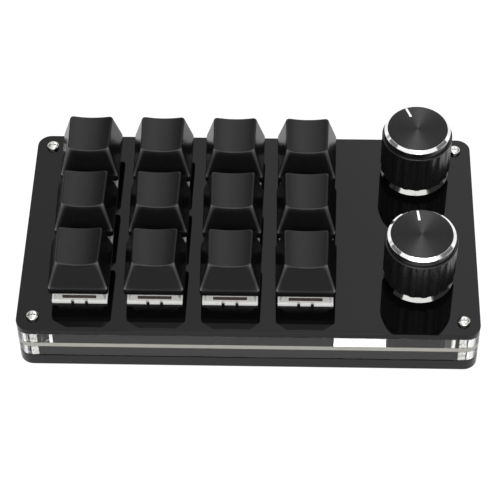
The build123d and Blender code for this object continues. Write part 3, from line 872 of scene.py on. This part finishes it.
# The height over the floor at which the lower heads are seated
LOWER_SEAT = 3.1
HEAD_TOP = 1.15
HEAD_PROFILE = [
    (SHANK_RADIUS, 0.0), (1.66, 0.0), (1.75, 0.09), (1.75, 0.55),
    (1.66, 0.83), (1.4, 1.04), (1.0, HEAD_TOP),
]
RECESS_REACH, RECESS_HALF_ARM = 0.95, 0.2
RECESS_FLOOR, RECESS_TIP = 0.55, 0.5
RECESS_TAPER = 0.55


def screw_shape(shank):
    """A pan-head screw on its axis, with its seat at height 0."""
    rings = turned([(SHANK_RADIUS, -shank)] + HEAD_PROFILE, SCREW_SIDES)
    angles = [math.atan2(y, x) for x, y, _ in circle(1.0, 0.0, SCREW_SIDES)]
    cross = [(cross_radius(a, RECESS_REACH, RECESS_HALF_ARM, RECESS_HALF_ARM), a) for a in angles]
    rings.append([(*polar(radius, a), HEAD_TOP) for radius, a in cross])
    rings.append([(*polar(radius * RECESS_TAPER, a), RECESS_FLOOR) for radius, a in cross])
    return lofted(rings, (0, 0, -shank), (0, 0, RECESS_TIP))


def flipped(shape):
    """A shape turned upside down about the X axis."""
    points, faces = shape
    return [(x, -y, -z) for x, y, z in points], faces


parts = [((x, y, PLATE), screw_shape(UPPER_SHANK)) for x, y in SCREW_SPOTS]
parts += [((x, y, LOWER_SEAT), flipped(screw_shape(LOWER_SHANK))) for x, y in SCREW_SPOTS]
mesh = to_mesh("screws", *merged(parts), smooth_angle=30)
screws = add_object("screws", mesh, nickel, "base")
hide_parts("case_screws")

# Rubber feet, with heights over the floor
FOOT_SIDES = 64
FOOT_HEIGHT = 1.5
FOOT_DIMPLE = 0.05
FOOT_PROFILE = [
    (1.6, 0.03), (3.2, 0.0), (3.5, 0.06), (3.72, 0.25), (3.98, 1.2),
    (4.0, FOOT_HEIGHT), (3.4, FOOT_HEIGHT),
]
foot = lofted(turned(FOOT_PROFILE, FOOT_SIDES), (0, 0, FOOT_DIMPLE), (0, 0, FOOT_HEIGHT))
mesh = to_mesh("feet", *merged([((x, y, 0), foot) for x, y in FOOT_SPOTS]), smooth_angle=40)
feet = add_object("feet", mesh, rubber, "base")
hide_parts("rubber_feet")

# Sheets and housings with softened edges
bevelled("top_plate", 0.12, black_acrylic)
bevelled("upper_spacer", 0.1, clear_acrylic, shaded_wall, at_cut_wall)
bevelled("lower_spacer", 0.1, clear_acrylic, shaded_wall, at_cut_wall)
bevelled("bottom_plate", 0.3, smoked_acrylic, shaded_wall, at_seam)
bevelled(
    "switch_upper_housings", 0.15, shaded_milky_upper, housing_painted_shade, in_housing, rim_only=False
)
bevelled(
    "switch_lower_housings", 0.08, milky_lower, housing_painted_shade, in_housing, rim_only=False
)

# Finishes of the CAD nodes that stay
finishes = {
    "circuit_board": board,
    "case_standoffs": standoff_metal,
    "usb_socket": steel,
    "controller_chip": socket_paint,
    "switch_contacts": brass,
    "hotswap_sockets": socket_paint,
    "encoder_bases": encoder_paint,
    "encoder_brackets": steel,
    "rear_encoder_rotor": encoder_paint,
    "front_encoder_rotor": encoder_paint,
    "rear_encoder_shaft": steel,
    "front_encoder_shaft": steel,
    "rear_knob_core": encoder_paint,
    "front_knob_core": encoder_paint,
}
finishes.update({"stem_" + key: stem_paint for key in KEYS})
for node, paint in finishes.items():
    nodes[node].data.materials.clear()
    nodes[node].data.materials.append(paint.material)


# Floor, with its size in metres, which shows an even white and still takes shadows
FLOOR_SIZE = 6.0
FLOOR_WHITE = 0.85
FLOOR_GLOW = 1.12
FLOOR_GLOW_SHARE = 0.88


def seen(path, net):
    """1 for rays from the camera, in reflections and through clear pieces."""
    kinds = ("Is Camera Ray", "Is Glossy Ray", "Is Transmission Ray")
    return net.largest(*[path.outputs[kind] for kind in kinds])


bpy.ops.mesh.primitive_plane_add(size=FLOOR_SIZE, location=(0, 0, 0))
floor = bpy.context.object
floor.name = "floor"
floor_material = bpy.data.materials.new("floor")
floor_material.use_nodes = True
floor_material.node_tree.nodes.clear()
ground = Net(floor_material.node_tree)
diffuse = ground.add("BsdfDiffuse")
ground.put(diffuse.inputs["Color"], (*grey(FLOOR_WHITE), 1))
glow = ground.add("Emission")
ground.put(glow.inputs["Strength"], FLOOR_GLOW)
mix = ground.add("MixShader")
ground.put(mix.inputs["Fac"], ground.product(seen(ground.add("LightPath"), ground), FLOOR_GLOW_SHARE))
ground.put(mix.inputs[1], diffuse.outputs[0])
ground.put(mix.inputs[2], glow.outputs[0])
ground.put(ground.add("OutputMaterial").inputs["Surface"], mix.outputs[0])
floor.data.materials.append(floor_material)

# White surround, with dim patches for the keys, the plate and the knobs to mirror
FRONT_DIM = 0.3
FLANK_DIM = 0.82
CORNER_DIM = 0.85
# Round patches at both sides, each a direction and the cosine of its half angle
FLANK_PATCHES = (((0.902, -0.1, 0.42), 0.948), ((0.82, -0.45, 0.354), 0.95))
PATCH_BLUR = 0.006
# What the surround gives to light that is neither seen nor mirrored
FILL_LIGHT = 0.6

world = bpy.data.worlds.new("surround")
scene.world = world
world.use_nodes = True
world.node_tree.nodes.clear()
sky = Net(world.node_tree)
path = sky.add("LightPath")
sideways, rearward, upward = sky.split(sky.add("TexCoord").outputs["Generated"])
aside = sky.calculate("ABSOLUTE", sideways)


def fade(value, start, stop, low=0.0, high=1.0):
    """A soft change from low to high while a value goes from start to stop."""
    return sky.span(value, low, high, start, stop, kind="SMOOTHSTEP")


def patch(direction, edge):
    """1 within a round patch about a direction, on the left and the right alike."""
    terms = [sky.product(way, part) for way, part in zip((aside, rearward, upward), direction)]
    return fade(sky.combine("ADD", *terms), edge - PATCH_BLUR, edge + PATCH_BLUR)


low_front = sky.product(
    fade(rearward, start=-0.75, stop=-0.25, low=1.0, high=0.0),
    fade(upward, start=0.12, stop=0.28, low=1.0, high=0.0),
)
flanks = sky.largest(*[patch(direction, edge) for direction, edge in FLANK_PATCHES])
rear_corners = sky.product(
    fade(aside, start=0.14, stop=0.36),
    fade(rearward, start=0.2, stop=0.4),
    fade(upward, start=0.3, stop=0.42),
)
dim = sky.largest(
    sky.product(low_front, FRONT_DIM),
    sky.product(flanks, FLANK_DIM),
    sky.product(rear_corners, CORNER_DIM),
)
# The plate mirrors the rear, which is brighter and a little more so on the right
rear = sky.product(
    fade(rearward, start=0.15, stop=0.45),
    fade(upward, start=0.2, stop=0.5),
    fade(sideways, start=-0.13, stop=0.09, low=0.54, high=1.22),
)
mirrored = sky.product(sky.calculate("SUBTRACT", 1.0, dim), sky.calculate("ADD", rear, 1.0))
shown = sky.largest(
    sky.product(path.outputs["Is Glossy Ray"], mirrored),
    path.outputs["Is Camera Ray"],
    path.outputs["Is Transmission Ray"],
)
fill = sky.product(sky.calculate("SUBTRACT", 1.0, seen(path, sky)), FILL_LIGHT)
background = sky.add("Background")
sky.put(background.inputs["Color"], (*grey(1.0), 1))
sky.put(background.inputs["Strength"], sky.calculate("ADD", shown, fill))
sky.put(sky.add("OutputWorld").inputs["Surface"], background.outputs[0])


# Studio lights, in metres
def soft_box(name, direction, distance, width, height, radiance):
    """A flat studio light that faces the object."""
    light = bpy.data.lights.new(name, "AREA")
    light.shape = "RECTANGLE"
    light.size = width
    light.size_y = height
    light.energy = radiance * math.pi * width * height
    lamp = bpy.data.objects.new(name, light)
    scene.collection.objects.link(lamp)
    way = Vector(direction).normalized()
    middle_of_case = Vector((0, 0, 0.02))
    lamp.location = way * distance + middle_of_case
    lamp.rotation_euler = way.to_track_quat("Z", "Y").to_euler()


soft_box("front_box", (0.0, -0.72, 0.70), distance=1.0, width=1.4, height=0.34, radiance=5.0)
soft_box("top_box", (0.0, -0.05, 1.0), distance=1.1, width=0.3, height=1.0, radiance=3.0)

# Camera, as fitted to the photograph, with heights over the floor and its focal length in pixels
CAMERA_TARGET = (0.0075, -6.9858, 17.28)
CAMERA_DISTANCE = 557.88
CAMERA_ELEVATION = math.radians(50.3558)
CAMERA_AZIMUTH = math.radians(2.1442)
CAMERA_ROLL = math.radians(0.926)
CAMERA_FOCAL_LENGTH = 1937.82
PHOTO_WIDTH = 500
SENSOR_WIDTH = 36.0

back = Vector((
    math.sin(CAMERA_AZIMUTH) * math.cos(CAMERA_ELEVATION),
    -math.cos(CAMERA_AZIMUTH) * math.cos(CAMERA_ELEVATION),
    math.sin(CAMERA_ELEVATION),
))
right = (-back).cross(Vector((0, 0, 1))).normalized()
down = (-back).cross(right)
rolled_right = right * math.cos(CAMERA_ROLL) + down * math.sin(CAMERA_ROLL)
rolled_down = down * math.cos(CAMERA_ROLL) - right * math.sin(CAMERA_ROLL)
eye = (Vector(CAMERA_TARGET) + back * CAMERA_DISTANCE) * MM
camera = bpy.data.objects.new("camera", bpy.data.cameras.new("camera"))
scene.collection.objects.link(camera)
axes = Matrix((rolled_right, -rolled_down, back)).transposed().to_4x4()
camera.matrix_world = Matrix.Translation(eye) @ axes
camera.data.sensor_width = SENSOR_WIDTH
camera.data.lens = CAMERA_FOCAL_LENGTH / PHOTO_WIDTH * SENSOR_WIDTH
camera.data.clip_start = 0.01
scene.camera = camera

# Clear sheets pass light along their length, which takes many turns
LIGHT_TURNS = 40
scene.cycles.max_bounces = LIGHT_TURNS
scene.cycles.glossy_bounces = LIGHT_TURNS
scene.cycles.transmission_bounces = LIGHT_TURNS
scene.cycles.transparent_max_bounces = LIGHT_TURNS
scene.view_settings.view_transform = "Standard"

bpy.context.view_layer.update()
